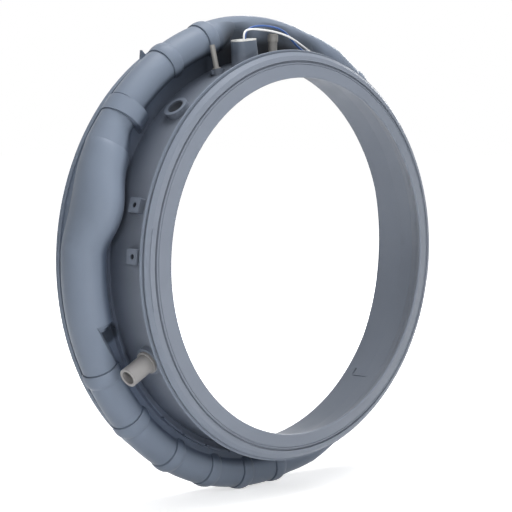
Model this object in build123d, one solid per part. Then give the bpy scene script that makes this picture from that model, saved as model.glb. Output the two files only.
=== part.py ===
"""Door seal of a front loading washing machine.

One moulded rubber bellows with the fittings that are pushed into it: a hose
spigot, two inlet nozzles and a drum lamp with its short lead.
Millimetres. The seal is drawn with its axis on Z and its front lip up, then
turned so that the lip faces -Y and the tub side faces +Y, with +Z up.
The origin is the centre of the rear face, where the seal grips the tub.
Angles are seen from the front, from the right hand side upwards.
"""
import os
from math import cos, pi, radians, sin, tan

from build123d import *

# Throat wall, front rim and sealing lip
THROAT_R = 172.0
WALL = 3.0
THROAT_OUT_R = THROAT_R + WALL
RIM_Z = 80.4
RIM_T = 1.8
RIM_OVER = 9.0
RIM_R = THROAT_OUT_R + RIM_OVER
LIP_IN = 13.0
LIP_R = THROAT_R - LIP_IN
LIP_RISE = 12.1
LIP_Z = RIM_Z + LIP_RISE
WEB_Z = 29.0

# Panel slot behind the front bead, which the cabinet edge sits in
SLOT_W = 1.6
SLOT_R = THROAT_OUT_R + 0.4
BEAD_R = RIM_R - 2.3

# Rear skirt and flange that grip the tub collar
SKIRT_OVER = 28.5
SKIRT_R = THROAT_OUT_R + SKIRT_OVER
SKIRT_T = 3.0
SKIRT_H = 12.0
BORE_H = 10.2
FLANGE_W = 5.0
FLANGE_R = SKIRT_R + FLANGE_W
FLANGE_H = 4.5

# Sections of the bellows arch, each a centre radius, a height and a tube radius
ARCH = (SKIRT_R - 3.5, 22.0, 15.5)
WIDE = (SKIRT_R - 7.3, 22.3, 19.7)
SLIM = (SKIRT_R + 0.8, 20.0, 11.2)
FAR = (SKIRT_R - 2.0, 22.0, 17.0)

# Angles where one section gives way to the next
PINCH_AT = 144.0
CHAMBER_FROM = 149.5
WIDE_FROM = 178.0
WIDE_TO = 195.0
NECK_TO = 207.0
FAR_FROM = 291.0
FAR_EASE = 8.0
SLIM_FROM = 70.0
SLIM_TO = 97.0
SLIM_EASE = 11.0
SLIM_STEP = 6.5

# Folded notch where the wide section ends, with two leaves that step down
NOTCH_D = 11.8
NOTCH_WAY = 133.0
NOTCH_SLOPE = 0.2
LEAF_ARC = 0.9
LEAF_STEP = 2.4

# Collars round the arch, and the crease beside each
LOW_COLLARS = (208.5, 224.0, 240.0, 254.0, 266.0, 278.0)
HIGH_COLLARS = (106.5, 120.5)
FAR_COLLAR = 48.5
STOP_COLLAR = 139.7
STOP_ARC = 4.2
COLLAR_H = 1.9
COLLAR_EDGE = 1.0
COLLAR_FADE = 0.3
COLLAR_ARC = 3.5
CREASE_ARC = 0.35
CREASE_D = 0.9

# Pointed tab on the flange
TAB_AT = 122.0
TAB_W = 8.0
TAB_H = 6.0

# Stiffening fin that stands up from the web between the arch and the throat wall
FIN_OVER = 7.5
FIN_R = THROAT_OUT_R + FIN_OVER
FIN_H = 8.3
FIN_T = 1.6
FIN_FROM = 197.0
FIN_ARC = 262.0
FIN_NOTCHES = 10
FIN_NOTCH_FROM = 229.0
FIN_NOTCH_PITCH = 9.5
FIN_NOTCH_W = 2.4
FIN_NOTCH_D = 4.0

# Raised pad on the bead, and the moulding mark inside the throat
PAD_FROM = 169.5
PAD_ARC = 22.5
MARK_AT = 314.5
MARK_Z = RIM_Z - 27.4

# Hose spigot and its boss
BOSS_H = 4.5
BOSS_TOP = THROAT_OUT_R + BOSS_H
SPIGOT_AT = 207.4
SPIGOT_Z = RIM_Z - 18.4
SPIGOT_R = 8.5
SPIGOT_BORE_R = 6.2
SPIGOT_LEN = 25.5
SPIGOT_END = BOSS_TOP + SPIGOT_LEN
SPIGOT_FLANGE_W = 1.9
SPIGOT_FLANGE_T = 2.2
SPIGOT_BOSS_W = 4.3

# Inlet nozzle, which leans back towards the top
INLET_AT = 111.8
INLET_Z = RIM_Z - 30.9
INLET_TIP_AT = 109.6
INLET_TIP_H = 24.0
INLET_LEAN = 5.0
INLET_R = 2.3
INLET_BORE_R = 1.3
INLET_BOSS_W = 3.3
INLET_SEAT = 3.8

# Spray nozzle
SPRAY_AT = 89.0
SPRAY_Z = RIM_Z - 30.4
SPRAY_R = 4.0
SPRAY_BORE_R = 2.4
SPRAY_LEN = 19.0
SPRAY_END = BOSS_TOP + SPRAY_LEN
SPRAY_BOSS_W = 3.6

# Drum lamp and its pocket; the lamp stands more upright than the wall below it
LAMP_AT = 104.5
LAMP_WAY = 96.0
LAMP_Z = RIM_Z - 17.4
LAMP_H = 23.2
LAMP_PLATE_T = 1.4
LAMP_ALONG = 11.0
LAMP_ROUND = 16.0
LAMP_WALL = 1.2
POCKET_SIDE = 4.0
POCKET_END = 4.5
POCKET_ALONG = LAMP_ALONG + 2 * POCKET_SIDE
POCKET_ROUND = LAMP_ROUND + 2 * POCKET_END
POCKET_TAPER = 3.0
POCKET_CORNER = 7.5
POCKET_SINK = 2.9
LENS_T = 3.6
LENS_DOWN = 1.0
BOARD_UP = 7.0
BOARD_T = 1.2
LED_T = 1.5
LED_SIDE = 3.5

# Free port, and two square eyelets beside the rim
PORT_AT = 132.0
PORT_Z = RIM_Z - 24.9
PORT_BORE_R = 7.4
PORT_W = 3.6
PORT_H = 5.6
EYELET_AT = (163.4, 177.3)
EYELET_BACK = (18.9, 13.9)
EYELET_SIDE = 13.0
EYELET_H = 6.0
EYELET_HOLE_R = 2.4
PLAY = 0.1

# Lamp leads and their plug
WIRE_R = 0.9
PLUG_AT = 58.0
PLUG_H = 6.0
PLUG_R = THROAT_OUT_R + PLUG_H / 2 + 0.7
PLUG_Z = RIM_Z - 20.4
PLUG_LEN = 14.0
PLUG_W = 8.4


def ring(face, start=0.0, arc=360.0):
    """Turn a section in radius and height about the axis of the seal."""
    return Rot(0, 0, start) * revolve(Plane.XZ * face, axis=Axis.Z, revolution_arc=arc)


def block(r0, r1, z0, z1):
    """Section rectangle between two radii and two heights."""
    return Pos((r0 + r1) / 2, (z0 + z1) / 2) * Rectangle(r1 - r0, z1 - z0)


def disc(section, grow=0.0):
    """Section circle of the arch, made larger or smaller by a margin."""
    r, z, radius = section
    return Pos(r, z) * Circle(radius + grow)


def swell(stations, inset=0.0):
    """Loft of round or oval sections that stand across the ring, one at each angle."""
    faces = []
    for angle, r, z, across, along in stations:
        a = radians(angle)
        plane = Plane(
            origin=(r * cos(a), r * sin(a), z),
            x_dir=(cos(a), sin(a), 0),
            z_dir=(sin(a), -cos(a), 0),
        )
        round_face = across == along
        faces.append(plane * (Circle(across - inset) if round_face else Ellipse(across - inset, along - inset)))
    return loft(faces)


def ease(one, two, start, end, steps=4):
    """Stations that lead from one section of the arch to another."""
    stations = []
    for i in range(steps):
        share = i / (steps - 1)
        r, z, radius = [p + (q - p) * share for p, q in zip(one, two)]
        stations.append((start + (end - start) * share, r, z, radius, radius))
    return stations


def out_at(angle, radius, z):
    """Plane on the throat wall, with its normal pointing outwards."""
    a = radians(angle)
    origin = (radius * cos(a), radius * sin(a), z)
    return Plane(origin=origin, x_dir=(0, 0, 1), z_dir=(cos(a), sin(a), 0))


def point_at(angle, radius, z):
    """Point in space from an angle, a radius and a height."""
    a = radians(angle)
    return Vector(radius * cos(a), radius * sin(a), z)


def post(plane, radius, start, end):
    """Round post along the normal of a plane, between two heights."""
    return plane * Pos(0, 0, start) * extrude(Circle(radius), amount=end - start)


# Throat wall with the front bead, panel slot, rim and sealing lip
bead_top = LIP_Z - 4.0
slot_top = RIM_Z + SLOT_W
throat_section = Polygon(
    (THROAT_R + 1.0, WEB_Z),
    (THROAT_OUT_R, WEB_Z),
    (THROAT_OUT_R, RIM_Z - RIM_T - 2.5),
    (THROAT_OUT_R + 1.8, RIM_Z - RIM_T - 0.6),
    (RIM_R - 1.5, RIM_Z - RIM_T),
    (RIM_R, RIM_Z - RIM_T + 0.7),
    (RIM_R - 0.3, RIM_Z),
    (SLOT_R, RIM_Z),
    (SLOT_R, slot_top),
    (BEAD_R, slot_top),
    (BEAD_R, slot_top + 1.0),
    (BEAD_R - 3.2, bead_top - 2.0),
    (LIP_R + 15.4, bead_top - 0.2),
    (LIP_R + 14.9, bead_top - 2.2),
    (LIP_R + 13.8, bead_top - 2.2),
    (LIP_R + 13.3, bead_top),
    (LIP_R + 12.3, bead_top + 0.3),
    (LIP_R + 11.9, bead_top - 0.3),
    (LIP_R + 11.4, bead_top + 0.6),
    (LIP_R + 1.0, LIP_Z),
    (LIP_R + 0.2, LIP_Z - 0.5),
    (LIP_R, LIP_Z - 1.4),
    (LIP_R + 0.7, LIP_Z - 3.2),
    (LIP_R + 3.6, LIP_Z - 6.6),
    (LIP_R + 7.4, LIP_Z - 12.0),
    (THROAT_R - 2.4, LIP_Z - 20.0),
    (THROAT_R - 0.6, LIP_Z - 36.0),
    (THROAT_R, WEB_Z + 1.0),
    align=None,
)

# Bellows: the outside is filled first, and the inside is taken out of it
skirt = block(SKIRT_R - 1.0, SKIRT_R + SKIRT_T, 0, SKIRT_H)
flange = block(SKIRT_R - 1.0, FLANGE_R, 0, FLANGE_H)
web = block(THROAT_R + 1.0, SKIRT_R + 0.8, WEB_Z, WEB_Z + WALL)
low_end = SLIM_FROM - SLIM_EASE + 360.0
high_start = SLIM_TO + SLIM_STEP
widening = ease(ARCH, FAR, FAR_FROM - FAR_EASE, FAR_FROM)
thinning = ease(FAR, SLIM, SLIM_FROM - SLIM_EASE, SLIM_FROM)
thickening = ease(SLIM, ARCH, SLIM_TO, high_start)
tapering = ease(WIDE, ARCH, WIDE_TO, NECK_TO)
opening_out = ease(ARCH, WIDE, PINCH_AT, CHAMBER_FROM)
chamber = (
    (CHAMBER_FROM, *WIDE, WIDE[2]),
    (155.0, WIDE[0], 26.0, 19.8, 22.4),
    (160.5, WIDE[0], 30.0, 19.9, 24.8),
    (166.0, WIDE[0], 32.6, 20.0, 26.2),
    (170.5, WIDE[0], 29.6, 19.9, 24.6),
    (174.5, WIDE[0], 24.2, 19.8, 21.2),
    (WIDE_FROM, *WIDE, WIDE[2]),
)

# The fold takes a slanting wedge out of the front of the tapering tube
fold_a = radians(WIDE_TO)
fold_out = Vector(cos(fold_a), sin(fold_a), 0)
fold_along = Vector(-sin(fold_a), cos(fold_a), 0)
fold_up = fold_out * cos(radians(NOTCH_WAY)) + Vector(0, 0, 1) * sin(radians(NOTCH_WAY))
fold_at = Plane(
    origin=point_at(WIDE_TO, WIDE[0], WIDE[1]),
    x_dir=fold_along,
    z_dir=fold_along.cross(fold_up),
)
notch_floor = WIDE[2] - NOTCH_D
notch_run = 4 * WIDE[2]
wedge = Polygon(
    (0, notch_floor),
    (notch_run, notch_floor + NOTCH_SLOPE * notch_run),
    (notch_run, 2 * WIDE[2]),
    (0, 2 * WIDE[2]),
    align=None,
)
fold = swell(tapering) - fold_at * extrude(wedge, 2 * WIDE[2], both=True)
leaves = []
for leaf in (1, 2):
    leaf_section = (WIDE[0], WIDE[1], WIDE[2] - LEAF_STEP * leaf)
    leaves.append(ring(disc(leaf_section), WIDE_TO, LEAF_ARC * leaf))

tube = [
    ring(disc(ARCH), NECK_TO, FAR_FROM - FAR_EASE - NECK_TO),
    swell(widening),
    ring(disc(FAR), FAR_FROM, low_end - FAR_FROM),
    swell(thinning),
    ring(disc(SLIM), SLIM_FROM, SLIM_TO - SLIM_FROM),
    swell(thickening),
    ring(disc(ARCH), high_start, PINCH_AT - high_start),
    swell(opening_out),
    swell(chamber),
    ring(disc(WIDE), WIDE_FROM, WIDE_TO - WIDE_FROM),
    fold,
]

# Collars that swell and fade out on one side, and end in a crease on the other
collars = []
creases = []
below = block(THROAT_R - 20, FLANGE_R + 20, -5, FLANGE_H + 6)
below += block(THROAT_R - 20, ARCH[0] - 6, -5, WEB_Z + WALL + 2.5)
for angle in LOW_COLLARS + HIGH_COLLARS + (FAR_COLLAR,):
    way = -1 if angle in HIGH_COLLARS else 1
    section = FAR if angle == FAR_COLLAR else ARCH
    r, z, radius = section
    band = []
    for share, height in ((-0.5, COLLAR_EDGE), (-0.15, COLLAR_H), (0.15, COLLAR_H), (0.5, COLLAR_FADE)):
        size = radius + height
        band.append((angle + way * share * COLLAR_ARC, r, z, size, size))
    collars.append(swell(band))
    edge = angle - way * COLLAR_ARC / 2
    crease_face = disc(section, 6.0) - disc(section, -CREASE_D) - below
    creases.append(ring(crease_face, edge if way < 0 else edge - CREASE_ARC, CREASE_ARC))

# Wide collar that stops the upper tube, creased on both sides
collars.append(ring(disc(WIDE, COLLAR_FADE), STOP_COLLAR - STOP_ARC / 2, STOP_ARC))
crease_face = disc(ARCH, 6.0) - disc(ARCH, -CREASE_D) - below
for edge in (STOP_COLLAR - STOP_ARC / 2 - CREASE_ARC, STOP_COLLAR + STOP_ARC / 2):
    creases.append(ring(crease_face, edge, CREASE_ARC))

# The hollow of the bellows, open towards the tub and drawn back behind the fold
fold_hollow = (WIDE[0] + 3.4, WIDE[1] - 3.7, notch_floor + 1.1)
fold_end = NECK_TO + 2 * LEAF_ARC
arch_hollow = (ARCH[0], ARCH[1], ARCH[2] - WALL)
hollow = [
    ring(disc(ARCH, -WALL), fold_end, FAR_FROM - FAR_EASE - fold_end),
    swell(widening, WALL),
    ring(disc(FAR, -WALL), FAR_FROM, low_end - FAR_FROM),
    swell(thinning, WALL),
    ring(disc(SLIM, -WALL), SLIM_FROM, SLIM_TO - SLIM_FROM),
    swell(thickening, WALL),
    ring(disc(ARCH, -WALL), high_start, PINCH_AT - high_start),
    swell(opening_out, WALL),
    swell(chamber, WALL),
    ring(disc(WIDE, -WALL), WIDE_FROM, WIDE_TO - 2 * LEAF_ARC - WIDE_FROM),
    ring(disc(fold_hollow), WIDE_TO - 3 * LEAF_ARC, 3 * LEAF_ARC),
    swell(ease(fold_hollow, arch_hollow, WIDE_TO, fold_end)),
]
rear_bore = ring(block(THROAT_R - 20, SKIRT_R, -5, BORE_H))
rear_space = ring(block(THROAT_R - 20, SKIRT_R + 1.0, BORE_H, WEB_Z))
bellows = ring(flange + web) + tube + leaves + collars
bellows -= hollow
bellows += ring(skirt + flange)
bellows = bellows - [rear_bore, rear_space] - creases

# Small pointed tab on the flange at the upper left
tab = Polygon(
    (-TAB_W / 2, FLANGE_R - 2.0),
    (TAB_W / 2, FLANGE_R - 2.0),
    (TAB_W / 4, FLANGE_R + TAB_H),
    align=None,
)
bellows += Rot(0, 0, TAB_AT - 90.0) * extrude(tab, amount=FLANGE_H - 1.5)

# Stiffening fin, notched round the bottom and left out beside the chamber
fin_top = WEB_Z + FIN_H
fin = ring(block(FIN_R - FIN_T, FIN_R, WEB_Z + 1, fin_top), FIN_FROM, FIN_ARC)
for i in range(FIN_NOTCHES):
    at = out_at(FIN_NOTCH_FROM + i * FIN_NOTCH_PITCH, FIN_R, fin_top)
    fin -= at * Box(2 * FIN_NOTCH_D, FIN_NOTCH_W, 4 * FIN_T)

seal = ring(throat_section) + bellows + fin

# Raised pad on the face of the bead at the left
pad = Polygon(
    (LIP_R + 15.9, bead_top - 1.2),
    (BEAD_R - 3.4, bead_top - 3.0),
    (BEAD_R - 3.0, bead_top - 1.2),
    (LIP_R + 16.3, bead_top + 0.5),
    align=None,
)
seal += ring(pad, PAD_FROM, PAD_ARC)

# Port ring, open through the wall
port = out_at(PORT_AT, THROAT_OUT_R, PORT_Z)
seal += post(port, PORT_BORE_R + PORT_W, -WALL / 2, PORT_H)
seal -= post(port, PORT_BORE_R, -5 * WALL, PORT_H + 1)

# Two square eyelets beside the rim
for angle, back in zip(EYELET_AT, EYELET_BACK):
    at = out_at(angle, THROAT_OUT_R, RIM_Z - back)
    eyelet = RectangleRounded(EYELET_SIDE, EYELET_SIDE, 1.5)
    seal += at * Pos(0, 0, -WALL / 2) * extrude(eyelet, EYELET_H + WALL / 2)
    seal -= post(at, EYELET_HOLE_R, 1.0, EYELET_H + 1)

# Boss for the hose spigot, with two hooks on its upper side
spigot_at = out_at(SPIGOT_AT, 0, SPIGOT_Z)
spigot_boss_r = SPIGOT_R + SPIGOT_BOSS_W
seal += post(spigot_at, spigot_boss_r, THROAT_OUT_R - 2, BOSS_TOP)
for turn in (-128.0, -158.0):
    hook = Pos(spigot_boss_r + 0.4, 0, BOSS_TOP - 0.5) * Box(4.0, 3.0, 6.0)
    seal += spigot_at * Rot(0, 0, turn) * hook
seal -= post(spigot_at, SPIGOT_R + PLAY, THROAT_R - 20, BOSS_TOP + 1)

# Leaning boss for the inlet nozzle, with a tab on each side
inlet_foot = point_at(INLET_AT, THROAT_OUT_R, INLET_Z)
inlet_way = point_at(INLET_TIP_AT, THROAT_OUT_R + INLET_TIP_H, INLET_Z - INLET_LEAN) - inlet_foot
inlet_len = inlet_way.length
inlet_at = Plane(origin=inlet_foot, x_dir=(0, 0, 1), z_dir=inlet_way)
inlet_boss_r = INLET_R + INLET_BOSS_W
seal += post(inlet_at, inlet_boss_r, -2.0, INLET_SEAT)
for side in (-1, 1):
    seal += inlet_at * Pos(0, side * inlet_boss_r, INLET_SEAT / 2 - 0.4) * Box(3.0, 5.0, INLET_SEAT)
seal -= post(inlet_at, INLET_R + PLAY, -12.0, INLET_SEAT + 1)

# Boss for the spray nozzle
spray_at = out_at(SPRAY_AT, 0, SPRAY_Z)
seal += post(spray_at, SPRAY_R + SPRAY_BOSS_W, THROAT_OUT_R - 2, BOSS_TOP)
seal -= post(spray_at, SPRAY_R + PLAY, THROAT_R - 20, BOSS_TOP + 1)

# Tapered pocket that holds the drum lamp
lamp_out = Vector(cos(radians(LAMP_WAY)), sin(radians(LAMP_WAY)), 0)
lamp_at = Plane(origin=point_at(LAMP_AT, THROAT_OUT_R, LAMP_Z), x_dir=(0, 0, 1), z_dir=lamp_out)
pocket_top = LAMP_H - LAMP_PLATE_T
inset = (pocket_top + POCKET_SINK) * tan(radians(POCKET_TAPER))
pocket_foot = RectangleRounded(POCKET_ALONG, POCKET_ROUND, POCKET_CORNER)
lamp_plate = RectangleRounded(POCKET_ALONG - 2 * inset, POCKET_ROUND - 2 * inset, POCKET_CORNER - inset)
seal += lamp_at * loft([Pos(0, 0, -POCKET_SINK) * pocket_foot, Pos(0, 0, pocket_top) * lamp_plate])
lamp_hole = RectangleRounded(LAMP_ALONG + 2 * PLAY, LAMP_ROUND + 2 * PLAY, 1.5)
seal -= lamp_at * Pos(0, 0, -20) * extrude(lamp_hole, LAMP_H + 30)

# Moulding mark inside the throat: a short slot with a low ridge behind it
mark_at = out_at(MARK_AT, 0, MARK_Z)
seal += mark_at * Pos(1.0, 0, THROAT_R - 0.4) * Box(24.0, 1.6, 1.6)
seal -= mark_at * Pos(-12.0, -4.0, THROAT_R) * Box(1.8, 7.0, 2.6)

# Hose spigot: tube with a flange on the boss and a head inside the throat
spigot = post(spigot_at, SPIGOT_R, THROAT_R - 3.5, SPIGOT_END)
spigot += post(spigot_at, SPIGOT_R + SPIGOT_FLANGE_W, BOSS_TOP, BOSS_TOP + SPIGOT_FLANGE_T)
spigot += post(spigot_at, SPIGOT_R + 1.6, THROAT_R - 5.0, THROAT_R - 3.5)
spigot -= post(spigot_at, SPIGOT_BORE_R, THROAT_R - 20, SPIGOT_END + 1)

# Inlet nozzle: thin leaning pipe with a small flange
inlet = post(inlet_at, INLET_R, -5.5, inlet_len)
inlet += post(inlet_at, INLET_R + 1.4, INLET_SEAT, INLET_SEAT + 1.2)
inlet -= post(inlet_at, INLET_BORE_R, -20, inlet_len + 1)

# Spray nozzle: wider pipe with a stepped end
spray = post(spray_at, SPRAY_R, THROAT_R - 2.5, SPRAY_END)
spray += post(spray_at, SPRAY_R + 1.8, BOSS_TOP, BOSS_TOP + 1.6)
spray += post(spray_at, SPRAY_R + 0.7, SPRAY_END - 7.0, SPRAY_END - 1.0)
spray -= post(spray_at, SPRAY_BORE_R, THROAT_R - 20, SPRAY_END + 1)

# Drum lamp: hollow insert with a top plate, board, light source and window
lamp_body = RectangleRounded(LAMP_ALONG, LAMP_ROUND, 1.4)
lamp = lamp_at * Pos(0, 0, pocket_top) * extrude(lamp_plate, LAMP_PLATE_T)
lamp += lamp_at * Pos(0, 0, -LENS_DOWN) * extrude(lamp_body, pocket_top + LENS_DOWN)
wide_bay = Rectangle(LAMP_ALONG - 2 * LAMP_WALL, LAMP_ROUND - 2 * LAMP_WALL)
slim_bay = Rectangle(LAMP_ALONG - 4 * LAMP_WALL, LAMP_ROUND - 4 * LAMP_WALL)
lamp -= lamp_at * Pos(0, 0, -LENS_DOWN) * extrude(wide_bay, BOARD_UP + LENS_DOWN)
lamp -= lamp_at * Pos(0, 0, BOARD_UP) * extrude(slim_bay, pocket_top - LAMP_WALL - BOARD_UP)
lens = lamp_at * Pos(0, 0, -LENS_DOWN - LENS_T) * extrude(lamp_body, LENS_T)
board_outline = Rectangle(LAMP_ALONG - 2 * LAMP_WALL - 2 * PLAY, LAMP_ROUND - 2 * LAMP_WALL - 2 * PLAY)
board = lamp_at * Pos(0, 0, BOARD_UP - BOARD_T) * extrude(board_outline, BOARD_T)
led = lamp_at * Pos(0, 0, BOARD_UP - BOARD_T - LED_T) * extrude(Rectangle(LED_SIDE, LED_SIDE), LED_T)

# Plug on the end of the leads, lying on the throat wall behind the rim
plug_at = out_at(PLUG_AT, PLUG_R, PLUG_Z)
plug = plug_at * Box(PLUG_W, PLUG_LEN, PLUG_H)
plug += plug_at * Pos(0, -1.0, PLUG_H / 2 + 0.3) * Box(3.0, 8.0, 1.6)
for side in (-1, 1):
    plug -= plug_at * Pos(side * 2.0, -PLUG_LEN / 2, 0) * Box(2.2, 8.0, 2.2)

# Leads: straight runs joined by tangent arcs, from the lamp plate to the plug
lamp_side = Vector(lamp_out.Y, -lamp_out.X, 0)
plug_a = radians(PLUG_AT)
plug_mid = point_at(PLUG_AT, PLUG_R, PLUG_Z)
plug_way = Vector(-sin(plug_a), cos(plug_a), 0)


def lead(side, z_off, exit_run, route):
    """Lead from the lamp plate, over the route, into the end of the plug."""
    start = lamp_at.origin + lamp_out * LAMP_H + lamp_side * side + Vector(0, 0, z_off)
    end = plug_mid + plug_way * (PLUG_LEN / 2) + Vector(0, 0, z_off)
    points = [start, start + lamp_out * exit_run]
    for x, y, z in route:
        points.append(Vector(x, y, z))
    points += [end + plug_way * 12.0, end]
    radii = []
    for before, here, after in zip(points, points[1:], points[2:]):
        half = radians((here - before).get_angle(after - here)) / 2
        shorter = min((here - before).length, (after - here).length)
        radii.append(0.45 * shorter / tan(half))
    path = FilletPolyline(*points, radius=radii)
    tube = sweep(Plane(origin=start, z_dir=lamp_out) * Circle(WIRE_R), path=path)
    print("lead", [round(r, 1) for r in radii], round(path.length, 1), "volume", round(tube.volume, 1))
    print("section by length", round(pi * WIRE_R**2 * path.length, 1))
    print([(round(p.X, 2), round(-p.Z, 2), round(p.Y, 2)) for p in points])
    return tube


WHITE_ROUTE = (
    (-42.5, 201.4, 64.6),
    (-29.0, 201.6, 64.4),
    (-6.0, 199.8, 64.0),
    (14.0, 194.8, 63.4),
    (31.0, 186.6, 62.8),
    (47.5, 177.6, 62.4),
    (63.5, 170.3, 62.0),
)
BLUE_ROUTE = (
    (-34.0, 204.2, 61.0),
    (-14.5, 205.4, 60.6),
    (6.5, 202.0, 60.0),
    (17.5, 193.5, 59.4),
    (29.0, 185.2, 59.0),
    (45.0, 178.4, 58.6),
    (62.0, 170.8, 58.2),
)
white_wire = lead(-1.5, 1.9, 5.6, WHITE_ROUTE)
blue_wire = lead(4.0, -1.9, 5.8, BLUE_ROUTE)

# Turn every piece so that the lip faces -Y, and write one file for each
os.makedirs("parts", exist_ok=True)
pieces = {
    "seal_body": seal,
    "hose_spigot": spigot,
    "inlet_nozzle": inlet,
    "spray_nozzle": spray,
    "lamp_housing": lamp,
    "lamp_lens": lens,
    "lamp_board": board,
    "lamp_led": led,
    "white_wire": white_wire,
    "blue_wire": blue_wire,
    "lamp_plug": plug,
}
for name, piece in pieces.items():
    turned = Rot(90, 0, 0) * piece
    print(name, len(turned.solids()), "solids", round(turned.volume), turned.is_valid)
    export_step(turned, f"parts/{name}.step")
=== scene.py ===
import bpy
import math
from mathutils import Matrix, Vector


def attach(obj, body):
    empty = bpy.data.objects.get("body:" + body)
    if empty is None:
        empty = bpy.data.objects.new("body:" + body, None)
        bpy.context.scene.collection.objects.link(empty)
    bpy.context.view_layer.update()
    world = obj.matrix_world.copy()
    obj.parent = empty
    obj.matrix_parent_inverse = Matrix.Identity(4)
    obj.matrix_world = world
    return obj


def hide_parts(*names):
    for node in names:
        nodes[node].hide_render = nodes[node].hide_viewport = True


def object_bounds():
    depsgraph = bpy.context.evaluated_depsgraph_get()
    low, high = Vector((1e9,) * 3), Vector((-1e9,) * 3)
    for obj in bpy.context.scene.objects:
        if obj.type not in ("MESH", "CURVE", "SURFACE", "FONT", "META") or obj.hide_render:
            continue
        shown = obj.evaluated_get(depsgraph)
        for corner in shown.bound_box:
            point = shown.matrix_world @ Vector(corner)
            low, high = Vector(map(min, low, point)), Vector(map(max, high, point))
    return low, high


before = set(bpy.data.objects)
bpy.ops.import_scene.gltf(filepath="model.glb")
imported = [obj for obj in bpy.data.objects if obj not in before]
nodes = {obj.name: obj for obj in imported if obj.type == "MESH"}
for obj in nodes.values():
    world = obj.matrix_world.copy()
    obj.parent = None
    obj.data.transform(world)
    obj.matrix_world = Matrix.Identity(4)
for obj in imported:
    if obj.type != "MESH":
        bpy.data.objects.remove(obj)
first_low, first_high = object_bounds()

# Seal body.
# The real piece is one bellows of blue grey EPDM rubber, moulded in a steel tool, so it is matt
# with a very fine spark eroded grain, and it grips the tub collar behind and the cabinet edge in front.
SMOOTH_UP_TO = math.radians(32)
RUBBER_DARK = (0.172, 0.194, 0.236, 1)
RUBBER_LIGHT = (0.200, 0.225, 0.270, 1)
RUBBER_DARK_AT = 0.3
RUBBER_LIGHT_AT = 0.72
RUBBER_CLOUD = 9.0
RUBBER_CLOUD_DETAIL = 4.0
RUBBER_CLOUD_ROUGHNESS = 0.55
RUBBER_SHEEN = 55.0
RUBBER_SHEEN_DETAIL = 6.0
RUBBER_SHEEN_SPAN = (0.3, 0.7)
RUBBER_GLOSSIEST = 0.36
RUBBER_MATTEST = 0.48
RUBBER_SPECULAR = 0.14
RUBBER_GRAIN = 1400.0
RUBBER_GRAIN_STRENGTH = 0.12
RUBBER_GRAIN_DEPTH = 0.0002
ARCH_FROM = 0.176
ARCH_FULL = 0.190
ARCH_TINT = (0.91, 0.97, 1.03, 1)
WEB_FACE = (-0.0300, -0.0292)
CHANNEL_DEPTH = (-0.0750, -0.0340)
THROAT_FACE = (0.1725, 0.1745)
ARCH_FACE = (0.1885, 0.1965)
SHADE_LOW = -0.2
SHADE_HIGH = 0.2
SHADE_TINT = (0.92, 0.98, 1.10)
SHADE_TONES = ((0.0, 0.28), (0.18, 0.62), (0.50, 0.42), (0.80, 0.36), (0.93, 0.15))
# Each hollow has a centre, a radius of full shade, a radius where the shade ends, and a tone
# that multiplies the colour.
HOLLOWS = {
    "fold": ((-0.1788, -0.0315, -0.0581), 0.0080, 0.0110, 0.36),
    "free port": ((-0.1176, -0.0555, 0.1306), 0.0078, 0.0094, 0.36),
    "upper eyelet": ((-0.1706, -0.0615, 0.0509), 0.0026, 0.0034, 0.36),
    "lower eyelet": ((-0.1778, -0.0665, 0.0084), 0.0026, 0.0034, 0.36),
    "lamp pocket": ((-0.0468, -0.0630, 0.1850), 0.0110, 0.0165, 0.62),
    "gap right of the lamp": ((-0.0250, -0.0330, 0.1880), 0.0120, 0.0300, 0.30),
    "gap right of the spray nozzle": ((0.0250, -0.0330, 0.1880), 0.0120, 0.0300, 0.30),
    "gap behind the leads": ((0.0600, -0.0330, 0.1780), 0.0120, 0.0280, 0.40),
}


def smooth(piece):
    """Shade the round faces of a moulded piece smooth and keep its edges crisp."""
    bpy.ops.object.select_all(action="DESELECT")
    bpy.context.view_layer.objects.active = piece
    piece.select_set(True)
    bpy.ops.object.shade_smooth_by_angle(angle=SMOOTH_UP_TO)


def new_look(name):
    """Start a look, and give its node tree, its shader and the place on the object."""
    material = bpy.data.materials.new(name)
    material.use_nodes = True
    tree = material.node_tree
    place = tree.nodes.new("ShaderNodeTexCoord").outputs["Object"]
    return material, tree, tree.nodes["Principled BSDF"], place


def noise(tree, place, scale, detail=2.0, roughness=0.5):
    """Give a cloudy pattern over the piece."""
    texture = tree.nodes.new("ShaderNodeTexNoise")
    texture.inputs["Scale"].default_value = scale
    texture.inputs["Detail"].default_value = detail
    texture.inputs["Roughness"].default_value = roughness
    tree.links.new(place, texture.inputs["Vector"])
    return texture.outputs["Fac"]


def two_tone(tree, pattern, dark, light, dark_at=0.0, light_at=1.0):
    """Turn a pattern into colours between a dark and a light one."""
    ramp = tree.nodes.new("ShaderNodeValToRGB")
    for stop, position, colour in zip(ramp.color_ramp.elements, (dark_at, light_at), (dark, light)):
        stop.position = position
        stop.color = colour
    tree.links.new(pattern, ramp.inputs["Fac"])
    return ramp.outputs["Color"]


def ranged(tree, value, start, end, first=0.0, last=1.0, form="LINEAR"):
    """Turn a value between start and end into one between first and last."""
    limit = tree.nodes.new("ShaderNodeMapRange")
    limit.interpolation_type = form
    limit.inputs["From Min"].default_value = start
    limit.inputs["From Max"].default_value = end
    limit.inputs["To Min"].default_value = first
    limit.inputs["To Max"].default_value = last
    tree.links.new(value, limit.inputs["Value"])
    return limit.outputs["Result"]


def joined(tree, operation, one, two):
    """Join two values by the operation that is named."""
    both = tree.nodes.new("ShaderNodeMath")
    both.operation = operation
    tree.links.new(one, both.inputs[0])
    tree.links.new(two, both.inputs[1])
    return both.outputs["Value"]


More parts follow.
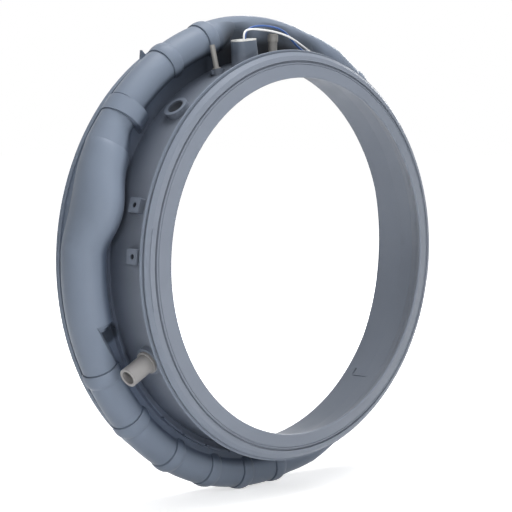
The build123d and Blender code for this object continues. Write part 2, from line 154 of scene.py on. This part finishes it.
def darkened(tree, share, colour):
    """Add a node that multiplies a colour by the one in its socket B, as far as the share says."""
    mix = tree.nodes.new("ShaderNodeMix")
    mix.data_type = "RGBA"
    mix.blend_type = "MULTIPLY"
    tree.links.new(share, mix.inputs["Factor"])
    tree.links.new(colour, mix.inputs["A"])
    return mix


def grained(tree, shader, pattern, strength, depth):
    """Raise a fine grain on the surface."""
    bump = tree.nodes.new("ShaderNodeBump")
    bump.inputs["Strength"].default_value = strength
    bump.inputs["Distance"].default_value = depth
    tree.links.new(pattern, bump.inputs["Height"])
    tree.links.new(bump.outputs["Normal"], shader.inputs["Normal"])


def dress(piece, material):
    """Give a piece its one material."""
    piece.data.materials.clear()
    piece.data.materials.append(material)


seal = nodes["seal_body"]
smooth(seal)
rubber, tree, shader, place = new_look("seal_rubber_look")
cloud = noise(tree, place, RUBBER_CLOUD, RUBBER_CLOUD_DETAIL, RUBBER_CLOUD_ROUGHNESS)
colour = two_tone(tree, cloud, RUBBER_DARK, RUBBER_LIGHT, RUBBER_DARK_AT, RUBBER_LIGHT_AT)
split = tree.nodes.new("ShaderNodeSeparateXYZ")
tree.links.new(place, split.inputs["Vector"])
flat = tree.nodes.new("ShaderNodeVectorMath")
flat.operation = "MULTIPLY"
flat.inputs[1].default_value = (1, 0, 1)
tree.links.new(place, flat.inputs[0])
length = tree.nodes.new("ShaderNodeVectorMath")
length.operation = "LENGTH"
tree.links.new(flat.outputs["Vector"], length.inputs[0])
reach = length.outputs["Value"]

# The arch is tinted a little bluer and darker than the lip; the tint is painted light, standing in for the
# neutral sheen that the lip's face catches.
arch = darkened(tree, ranged(tree, reach, ARCH_FROM, ARCH_FULL), colour)
arch.inputs["B"].default_value = ARCH_TINT
colour = arch.outputs["Result"]

# The channel between the arch and the throat wall lies in deep shade, most of all at the top.
front_side = ranged(tree, split.outputs["Y"], *WEB_FACE, 1.0, 0.0, "SMOOTHSTEP")
towards_web = ranged(tree, split.outputs["Y"], *CHANNEL_DEPTH, 0.0, 1.0, "SMOOTHSTEP")
outside_throat = ranged(tree, reach, *THROAT_FACE, 0.0, 1.0, "SMOOTHSTEP")
inside_arch = ranged(tree, reach, *ARCH_FACE, 1.0, 0.0, "SMOOTHSTEP")
channel = front_side
for limit in (towards_web, outside_throat, inside_arch):
    channel = joined(tree, "MULTIPLY", channel, limit)
shade = tree.nodes.new("ShaderNodeValToRGB")
stops = shade.color_ramp.elements
stops[1].position = SHADE_TONES[-1][0]
for position, tone in SHADE_TONES[1:-1]:
    stops.new(position)
for stop, (position, tone) in zip(stops, SHADE_TONES):
    stop.color = [part * tone for part in SHADE_TINT] + [1]
tree.links.new(ranged(tree, split.outputs["Z"], SHADE_LOW, SHADE_HIGH), shade.inputs["Fac"])
shaded = darkened(tree, channel, colour)
tree.links.new(shade.outputs["Color"], shaded.inputs["B"])
colour = shaded.outputs["Result"]

# The fold, the free port, the eyelets, the lamp pocket and the gap behind it get painted shade that is
# darker still.
for centre, full, clear, tone in HOLLOWS.values():
    near = tree.nodes.new("ShaderNodeVectorMath")
    near.operation = "DISTANCE"
    near.inputs[1].default_value = centre
    tree.links.new(place, near.inputs[0])
    within = ranged(tree, near.outputs["Value"], full, clear, 1.0, 0.0)
    hollow = darkened(tree, joined(tree, "MULTIPLY", within, front_side), colour)
    hollow.inputs["B"].default_value = (tone, tone, tone, 1)
    colour = hollow.outputs["Result"]
tree.links.new(colour, shader.inputs["Base Color"])
sheen = noise(tree, place, RUBBER_SHEEN, RUBBER_SHEEN_DETAIL)
matt = ranged(tree, sheen, *RUBBER_SHEEN_SPAN, RUBBER_GLOSSIEST, RUBBER_MATTEST)
tree.links.new(matt, shader.inputs["Roughness"])
grain = noise(tree, place, RUBBER_GRAIN)
grained(tree, shader, grain, RUBBER_GRAIN_STRENGTH, RUBBER_GRAIN_DEPTH)
shader.inputs["Specular IOR Level"].default_value = RUBBER_SPECULAR
dress(seal, rubber)

# Hose spigot.
# A short tube of light grey polypropylene, injection moulded, pushed through the rubber boss from
# outside until its flange seats, so that a water hose can be slid over the free end.
SPIGOT_DARK = (0.225, 0.219, 0.219, 1)
SPIGOT_LIGHT = (0.280, 0.273, 0.273, 1)
SPIGOT_CLOUD = 60.0
SPIGOT_CLOUD_DETAIL = 3.0
SPIGOT_GRAIN = 2200.0
SPIGOT_GRAIN_STRENGTH = 0.08
SPIGOT_GRAIN_DEPTH = 0.0001
SPIGOT_ROUGHNESS = 0.42
spigot = nodes["hose_spigot"]
smooth(spigot)
grey, tree, shader, place = new_look("spigot_plastic_look")
cloud = noise(tree, place, SPIGOT_CLOUD, SPIGOT_CLOUD_DETAIL)
tree.links.new(two_tone(tree, cloud, SPIGOT_DARK, SPIGOT_LIGHT), shader.inputs["Base Color"])
grain = noise(tree, place, SPIGOT_GRAIN)
grained(tree, shader, grain, SPIGOT_GRAIN_STRENGTH, SPIGOT_GRAIN_DEPTH)
shader.inputs["Roughness"].default_value = SPIGOT_ROUGHNESS
dress(spigot, grey)

# Inlet nozzle and spray nozzle.
# Two plain pipes of beige grey nylon, injection moulded, each held in its rubber boss by a small
# flange; the wider one has a bead near its end that stops a hose from sliding off.
NOZZLE_DARK = (0.205, 0.200, 0.191, 1)
NOZZLE_LIGHT = (0.270, 0.263, 0.251, 1)
NOZZLE_CLOUD = 140.0
NOZZLE_CLOUD_DETAIL = 4.0
NOZZLE_GRAIN_STRENGTH = 0.06
NOZZLE_GRAIN_DEPTH = 0.0001
NOZZLE_ROUGHNESS = 0.5
beige, tree, shader, place = new_look("nozzle_plastic_look")
cloud = noise(tree, place, NOZZLE_CLOUD, NOZZLE_CLOUD_DETAIL)
tree.links.new(two_tone(tree, cloud, NOZZLE_DARK, NOZZLE_LIGHT), shader.inputs["Base Color"])
grained(tree, shader, cloud, NOZZLE_GRAIN_STRENGTH, NOZZLE_GRAIN_DEPTH)
shader.inputs["Roughness"].default_value = NOZZLE_ROUGHNESS
for name in ("inlet_nozzle", "spray_nozzle"):
    pipe = nodes[name]
    smooth(pipe)
    dress(pipe, beige)

# Drum lamp.
# A white ABS insert pressed into the rubber pocket, with a frosted window towards the drum and a
# small board with one light source inside; its top plate covers the mouth of the pocket.
HOUSING_DARK = (0.56, 0.56, 0.54, 1)
HOUSING_LIGHT = (0.66, 0.66, 0.64, 1)
HOUSING_CLOUD = 90.0
HOUSING_ROUGHNESS = 0.4
LENS_COLOUR = (0.9, 0.92, 0.93, 1)
LENS_GRAIN = 900.0
LENS_GLOSSIEST = 0.25
LENS_MATTEST = 0.4
LENS_CLEARNESS = 0.85
LENS_IOR = 1.49
BOARD_DARK = (0.03, 0.16, 0.06, 1)
BOARD_LIGHT = (0.05, 0.24, 0.09, 1)
BOARD_WEAVE = 600.0
BOARD_ROUGHNESS = 0.35
LED_DARK = (0.80, 0.72, 0.40, 1)
LED_LIGHT = (0.86, 0.80, 0.52, 1)
LED_CLOUD = 1500.0
LED_ROUGHNESS = 0.3


def mottled(name, scale, dark, light, roughness):
    """Make the look of a plain piece, whose colour varies a little over it."""
    material, tree, shader, place = new_look(name)
    colour = two_tone(tree, noise(tree, place, scale), dark, light)
    tree.links.new(colour, shader.inputs["Base Color"])
    shader.inputs["Roughness"].default_value = roughness
    return material


lamp = nodes["lamp_housing"]
dress(lamp, mottled("lamp_plastic_look", HOUSING_CLOUD, HOUSING_DARK, HOUSING_LIGHT, HOUSING_ROUGHNESS))
frosted, tree, shader, place = new_look("lens_look")
matt = ranged(tree, noise(tree, place, LENS_GRAIN), 0.0, 1.0, LENS_GLOSSIEST, LENS_MATTEST)
tree.links.new(matt, shader.inputs["Roughness"])
shader.inputs["Base Color"].default_value = LENS_COLOUR
shader.inputs["Transmission Weight"].default_value = LENS_CLEARNESS
shader.inputs["IOR"].default_value = LENS_IOR
lens = nodes["lamp_lens"]
dress(lens, frosted)
board = nodes["lamp_board"]
dress(board, mottled("board_look", BOARD_WEAVE, BOARD_DARK, BOARD_LIGHT, BOARD_ROUGHNESS))
led = nodes["lamp_led"]
dress(led, mottled("led_look", LED_CLOUD, LED_DARK, LED_LIGHT, LED_ROUGHNESS))

# Plug of the lamp's leads.
# A two way crimp housing of white nylon, injection moulded, that holds the ends of both leads
# and lies loose on the throat wall behind the rim.
PLUG_DARK = (0.60, 0.59, 0.55, 1)
PLUG_LIGHT = (0.70, 0.69, 0.65, 1)
PLUG_CLOUD = 120.0
PLUG_ROUGHNESS = 0.45
plug = nodes["lamp_plug"]
dress(plug, mottled("plug_plastic_look", PLUG_CLOUD, PLUG_DARK, PLUG_LIGHT, PLUG_ROUGHNESS))

# White lead.
# A stranded copper wire in a white silicone skin, 1.8 mm thick, soldered to the lamp's board and
# crimped into the plug; it bends sharply over the plate and drops behind the front lip.
LEAD_RADIUS = 0.0009
LEAD_ROUNDING = 5
ROUTE_ORDER = 3
ROUTE_STEPS = 12
LEAD_CLOUD = 180.0
LEAD_ROUGHNESS = 0.4
WHITE_SKIN_DARK = (0.78, 0.78, 0.78, 1)
WHITE_SKIN_LIGHT = (0.86, 0.86, 0.86, 1)


def round_wire(name, route):
    """Lay a wire of one thickness along its route."""
    curve = bpy.data.curves.new(name, "CURVE")
    curve.dimensions = "3D"
    line = curve.splines.new("NURBS")
    line.points.add(len(route) - 1)
    for point, spot in zip(line.points, route):
        point.co = (*spot, 1)
    line.order_u = ROUTE_ORDER
    line.use_endpoint_u = True
    curve.resolution_u = ROUTE_STEPS
    curve.bevel_depth = LEAD_RADIUS
    curve.bevel_resolution = LEAD_ROUNDING
    curve.use_fill_caps = True
    wire = bpy.data.objects.new(name, curve)
    bpy.context.scene.collection.objects.link(wire)
    return wire


route = [
    (-0.04773, -0.0649, 0.19234), (-0.04832, -0.0649, 0.19791), (-0.0425, -0.0646, 0.2014),
    (-0.029, -0.0644, 0.2016), (-0.006, -0.064, 0.1998), (0.014, -0.0634, 0.1948),
    (0.031, -0.0628, 0.1866), (0.0475, -0.0624, 0.1776), (0.0635, -0.062, 0.1703),
    (0.07858, -0.0619, 0.16161), (0.08876, -0.0619, 0.15526),
]
white_lead = round_wire("white_lead", route)
dress(white_lead, mottled("white_lead_look", LEAD_CLOUD, WHITE_SKIN_DARK, WHITE_SKIN_LIGHT, LEAD_ROUGHNESS))
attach(white_lead, "root")
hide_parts("white_wire")

# Blue lead.
# The same stranded wire in a blue skin, soldered and crimped like the white one; it arches
# higher than the white one before it drops behind the lip.
BLUE_SKIN_DARK = (0.032, 0.085, 0.28, 1)
BLUE_SKIN_LIGHT = (0.045, 0.12, 0.36, 1)
route = [
    (-0.04226, -0.0611, 0.19292), (-0.04287, -0.0611, 0.19869), (-0.034, -0.061, 0.2042),
    (-0.0145, -0.0606, 0.2054), (0.0065, -0.06, 0.202), (0.0175, -0.0594, 0.1935),
    (0.029, -0.059, 0.1852), (0.045, -0.0586, 0.1784), (0.062, -0.0582, 0.1708),
    (0.07858, -0.0581, 0.16161), (0.08876, -0.0581, 0.15526),
]
blue_lead = round_wire("blue_lead", route)
dress(blue_lead, mottled("blue_lead_look", LEAD_CLOUD, BLUE_SKIN_DARK, BLUE_SKIN_LIGHT, LEAD_ROUGHNESS))
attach(blue_lead, "root")
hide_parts("blue_wire")

# Floor, light and camera.
# A plain white studio sweep under a large soft box, with one over the table in front, one behind and
# three small ones before the seal; the paper shines only where it is seen or mirrored.
FLOOR_GAP = 0.0002
FLOOR_SIZE = 16.0
PAPER = (0.90, 0.90, 0.90, 1)
PAPER_ROUGHNESS = 0.9
WHITE = (1, 1, 1, 1)
SHINE_NEAR = 0.60
SHINE_FAR = 1.0
SHINE_NEAR_AT = 0.35
SHINE_FAR_AT = 1.5
SKY_LIGHT = 0.11
SKY_SHOWN = 1.0
# Each soft box has a place, a point that it faces, a power in watts and a width.
SOFT_BOXES = {
    "front_box": ((-0.15, -1.10, 1.25), (-0.15, -0.75, -0.20), 5.5, 0.9),
    "top_box": ((0.25, -0.15, 2.10), (0.0, 0.0, 0.0), 48, 1.4),
    "low_box": ((-0.45, -1.00, -0.10), (-0.17, -0.03, -0.10), 2.2, 0.2),
    "side_box": ((-1.00, -0.60, 0.35), (-0.17, -0.03, -0.10), 2.8, 0.3),
    "fill_box": ((-0.30, -1.30, 0.50), (-0.10, -0.05, -0.15), 3.1, 0.3),
    "back_box": ((1.70, 1.10, 0.50), (0.0, 0.0, 0.0), 16, 0.8),
}
CAMERA_PLACE = (-1.3155, -1.3603, 0.1456)
CAMERA_TILT = math.radians(85.46)
CAMERA_TURN = math.radians(-44.72)
CAMERA_LENS = 144.5
CAMERA_SENSOR = 36.0


def shown(tree):
    """Pick the rays that see the white ground straight, in a reflection or through the lens."""
    rays = tree.nodes.new("ShaderNodeLightPath").outputs
    seen = rays["Is Camera Ray"]
    for kind in ("Is Glossy Ray", "Is Transmission Ray"):
        seen = joined(tree, "MAXIMUM", seen, rays[kind])
    return seen


bpy.ops.mesh.primitive_plane_add(size=FLOOR_SIZE, location=(0, 0, first_low.z - FLOOR_GAP))
floor = bpy.context.object
floor.name = "studio_floor"
paper, tree, shader, place = new_look("studio_paper")
shader.inputs["Base Color"].default_value = PAPER
shader.inputs["Roughness"].default_value = PAPER_ROUGHNESS
shader.inputs["Specular IOR Level"].default_value = 0.0
shader.inputs["Emission Color"].default_value = WHITE
away = tree.nodes.new("ShaderNodeVectorMath")
away.operation = "LENGTH"
tree.links.new(place, away.inputs[0])
shine = ranged(tree, away.outputs["Value"], SHINE_NEAR_AT, SHINE_FAR_AT, SHINE_NEAR, SHINE_FAR)
tree.links.new(joined(tree, "MULTIPLY", shine, shown(tree)), shader.inputs["Emission Strength"])
dress(floor, paper)
world = bpy.data.worlds.new("studio_world")
bpy.context.scene.world = world
world.use_nodes = True
tree = world.node_tree
sky = tree.nodes["Background"]
sky.inputs["Color"].default_value = WHITE
sky.inputs["Strength"].default_value = SKY_LIGHT
backdrop = tree.nodes.new("ShaderNodeBackground")
backdrop.inputs["Color"].default_value = WHITE
backdrop.inputs["Strength"].default_value = SKY_SHOWN
mix = tree.nodes.new("ShaderNodeMixShader")
tree.links.new(shown(tree), mix.inputs["Fac"])
tree.links.new(sky.outputs["Background"], mix.inputs[1])
tree.links.new(backdrop.outputs["Background"], mix.inputs[2])
tree.links.new(mix.outputs["Shader"], tree.nodes["World Output"].inputs["Surface"])
for name, (spot, aim, power, width) in SOFT_BOXES.items():
    light = bpy.data.lights.new(name, "AREA")
    light.energy = power
    light.size = width
    soft_box = bpy.data.objects.new(name, light)
    soft_box.location = spot
    soft_box.rotation_euler = (Vector(aim) - Vector(spot)).to_track_quat("-Z", "Y").to_euler()
    bpy.context.scene.collection.objects.link(soft_box)
camera = bpy.data.cameras.new("photo_camera")
camera.lens = CAMERA_LENS
camera.sensor_width = CAMERA_SENSOR
camera_object = bpy.data.objects.new("photo_camera", camera)
camera_object.location = CAMERA_PLACE
camera_object.rotation_euler = (CAMERA_TILT, 0, CAMERA_TURN)
bpy.context.scene.collection.objects.link(camera_object)
bpy.context.scene.camera = camera_object
bpy.context.scene.view_settings.view_transform = "Standard"
